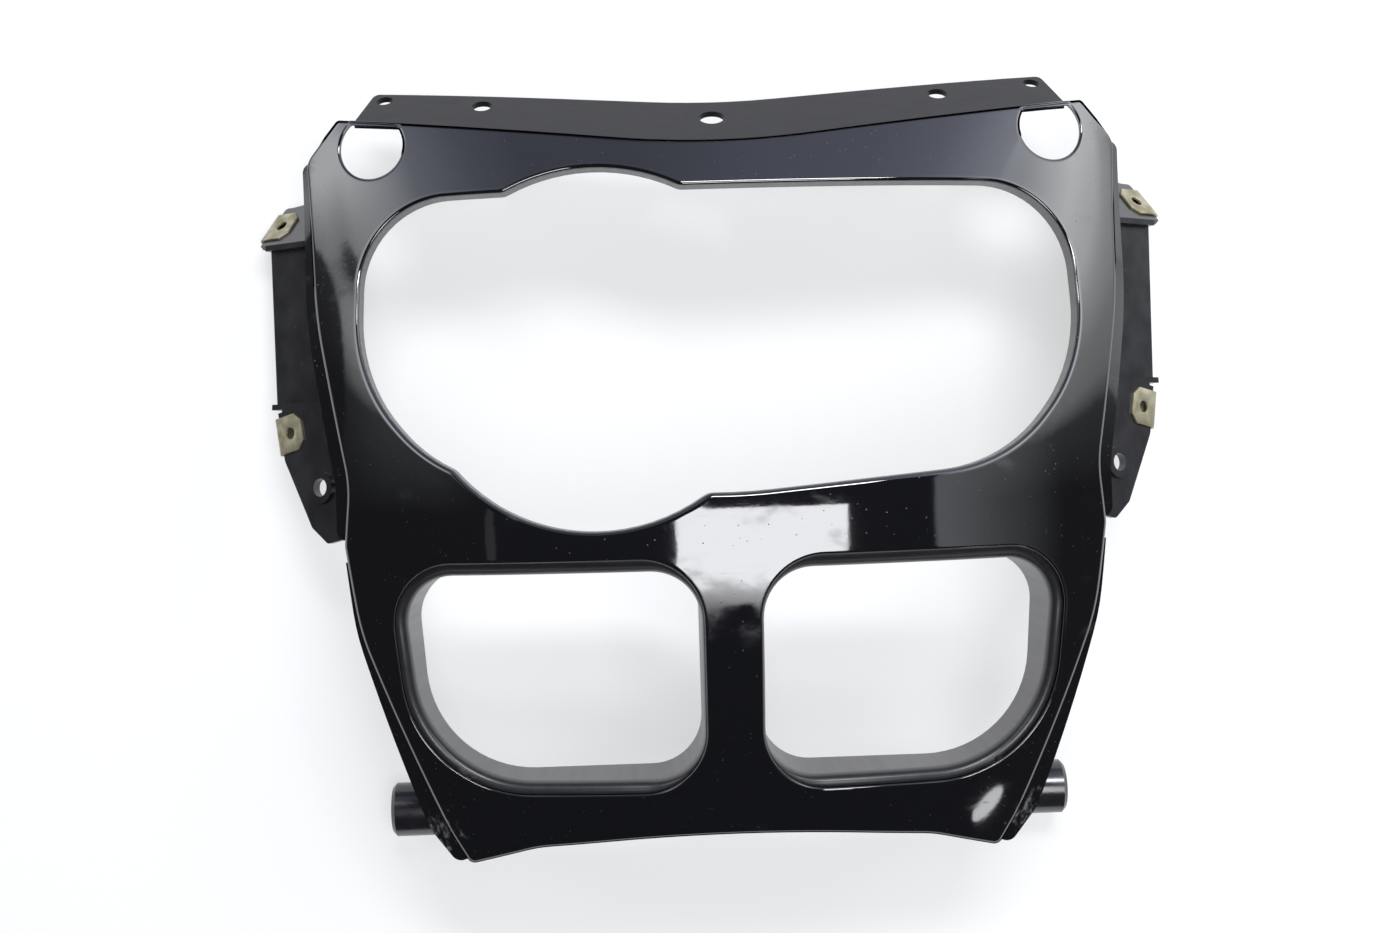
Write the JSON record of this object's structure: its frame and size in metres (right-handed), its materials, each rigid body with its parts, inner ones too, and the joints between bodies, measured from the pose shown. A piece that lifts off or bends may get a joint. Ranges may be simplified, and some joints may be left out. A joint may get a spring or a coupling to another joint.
{
  "type": "motorcycle front fairing",
  "caption": "Moulded front fairing panel with an asymmetric lamp opening, two lower air intakes, a slanting screen strip and side flanges with clip nuts.",
  "frame": {"origin": "on the surface the panel lies on, under the middle of its box", "axes": "+X to the right as seen from the face, +Y towards the screen, +Z out of the face"},
  "size_m": [0.4944, 0.4034, 0.16],
  "materials": {
    "gloss_black": "clear-coated gloss black with light dust, smudges and scuffed lower corners",
    "gold_passivated": "olive-gold passivated spring steel"
  },
  "bodies": {
    "root": {"fairing_panel": "gloss_black", "clip_nuts": "gold_passivated"}
  },
  "joints": []
}
